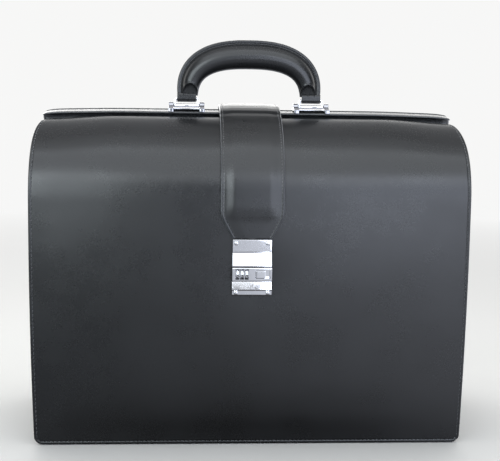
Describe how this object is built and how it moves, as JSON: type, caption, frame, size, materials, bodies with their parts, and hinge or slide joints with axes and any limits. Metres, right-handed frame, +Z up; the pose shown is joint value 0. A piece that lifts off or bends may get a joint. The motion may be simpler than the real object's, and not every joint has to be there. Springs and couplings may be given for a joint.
{
  "type": "doctor bag",
  "caption": "Framed leather doctor bag with an opening top frame, over-strap and hasp, combination lock and a carrying handle on metal rings.",
  "frame": {"origin": "centre of the bag's flat base, on the surface it stands on", "axes": "+X to the bag's right as seen from the front, +Y to the back, +Z up"},
  "size_m": [0.44, 0.1916, 0.4137],
  "materials": {
    "leather": "smooth semi-gloss black calf",
    "edge_leather": "stitched black edge",
    "strap_leather": "smooth padded black calf with edge stitching",
    "chrome": "polished",
    "steel": "satin nickel",
    "lining": "woven lining on board",
    "core": "cord filler"
  },
  "bodies": {
    "box": {"base_panel": "leather", "base_welt": "edge_leather", "case_rivet_left": "chrome", "case_rivet_right": "chrome", "dial_axle": "steel", "front_left_binding": "edge_leather", "front_left_pin": "steel", "front_lining": "lining", "front_panel": "leather", "front_right_binding": "edge_leather", "front_right_pin": "steel", "left_gusset": "leather", "left_stay": "steel", "lock_back_plate": "steel", "lock_case": "chrome", "lock_spring": "steel", "rear_left_binding": "edge_leather", "rear_left_pin": "steel", "rear_lining": "lining", "rear_panel": "leather", "rear_right_binding": "edge_leather", "rear_right_pin": "steel", "right_gusset": "leather", "right_stay": "steel"},
    "front_half": {"front_bar_cover": "leather", "front_frame": "steel", "front_left_shoulder_binding": "edge_leather", "front_right_shoulder_binding": "edge_leather", "front_shoulder": "leather"},
    "rear_half": {"handle_mount_left": "chrome", "handle_mount_right": "chrome", "rear_bar_cover": "leather", "rear_frame": "steel", "rear_left_shoulder_binding": "edge_leather", "rear_right_shoulder_binding": "edge_leather", "rear_shoulder": "leather", "strap_anchor": "strap_leather"},
    "strap_bridge": {"strap_bridge": "strap_leather"},
    "strap_flap": {"strap_flap": "strap_leather", "hasp_plate": "chrome", "hasp_rivet_left": "chrome", "hasp_rivet_right": "chrome"},
    "handle": {"handle_grip": "strap_leather", "handle_core": "core", "handle_tab_left": "strap_leather", "handle_tab_right": "strap_leather", "handle_ring_left": "chrome", "handle_ring_right": "chrome"},
    "lock_slide": {"slide_button": "chrome", "lock_bolt": "steel"},
    "dial_1": {"dial_1": "chrome"},
    "dial_2": {"dial_2": "chrome"},
    "dial_3": {"dial_3": "chrome"}
  },
  "joints": [
    {"name": "frame_open", "type": "hinge", "parent": "box", "child": "front_half", "pos_m": [0, -0.082, 0.2475], "axis": [1, 0, 0], "range_deg": [0, 30]},
    {"name": "rear_frame_open", "type": "hinge", "parent": "box", "child": "rear_half", "pos_m": [0, 0.082, 0.2475], "axis": [1, 0, 0], "range_deg": [-30, 0]},
    {"name": "strap_lift", "type": "hinge", "parent": "rear_half", "child": "strap_bridge", "pos_m": [0, 0.0224, 0.3444], "axis": [1, 0, 0], "range_deg": [-36, 0]},
    {"name": "flap_lift", "type": "hinge", "parent": "strap_bridge", "child": "strap_flap", "pos_m": [0, -0.0142, 0.3444], "axis": [1, 0, 0], "range_deg": [-50, 0]},
    {"name": "handle_swing", "type": "hinge", "parent": "rear_half", "child": "handle", "pos_m": [0, -0.002, 0.344], "axis": [1, 0, 0], "range_deg": [-68, 0]},
    {"name": "lock_slide", "type": "slide", "parent": "box", "child": "lock_slide", "axis": [1, 0, 0], "range_m": [0, 0.004], "stiffness_N_per_m": 200, "springref_m": -0.002, "deforming": ["lock_spring"]},
    {"name": "dial_1_turn", "type": "hinge", "parent": "box", "child": "dial_1", "pos_m": [-0.0146, -0.0959, 0.1781], "axis": [1, 0, 0], "continuous": true},
    {"name": "dial_2_turn", "type": "hinge", "parent": "box", "child": "dial_2", "pos_m": [-0.01, -0.0959, 0.1781], "axis": [1, 0, 0], "continuous": true},
    {"name": "dial_3_turn", "type": "hinge", "parent": "box", "child": "dial_3", "pos_m": [-0.0054, -0.0959, 0.1781], "axis": [1, 0, 0], "continuous": true}
  ],
  "couplings": [
    {"joint": "rear_frame_open", "follows": "frame_open", "ratio": -1},
    {"joint": "strap_lift", "follows": "frame_open", "ratio": -1.2}
  ]
}
